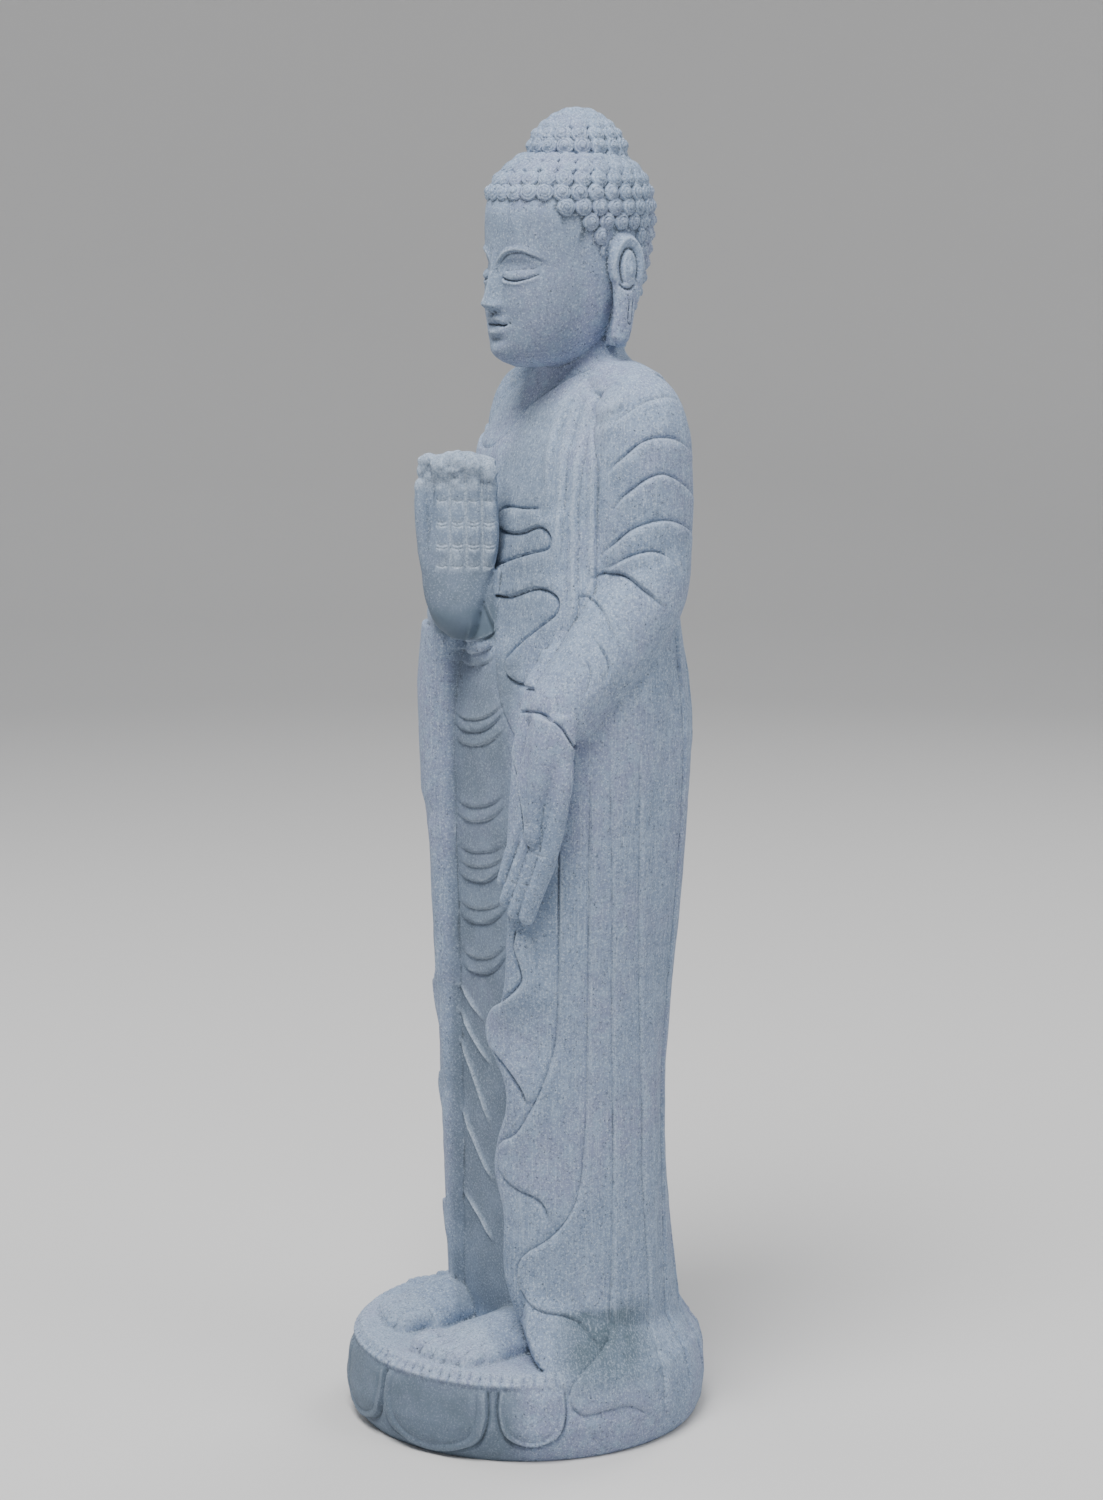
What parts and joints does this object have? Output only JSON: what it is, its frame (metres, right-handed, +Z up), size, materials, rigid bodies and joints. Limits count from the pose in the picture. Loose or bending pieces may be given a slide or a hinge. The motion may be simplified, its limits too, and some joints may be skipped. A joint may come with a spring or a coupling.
{
  "type": "standing buddha statue",
  "caption": "Standing robed Buddha carved from one grey stone, right hand raised, left hand lowered, curled hair, on a low round lotus base.",
  "frame": {"origin": "centre of the bounding box on the flat underside of the base", "axes": "+Z up, the figure faces -Y, the figure's own left hand is on the +X side"},
  "size_m": [0.4213, 0.4211, 1.5005],
  "materials": {
    "stone": "rough carved grey stone, speckled, dry"
  },
  "bodies": {
    "root": {"statue": "stone"}
  },
  "joints": []
}
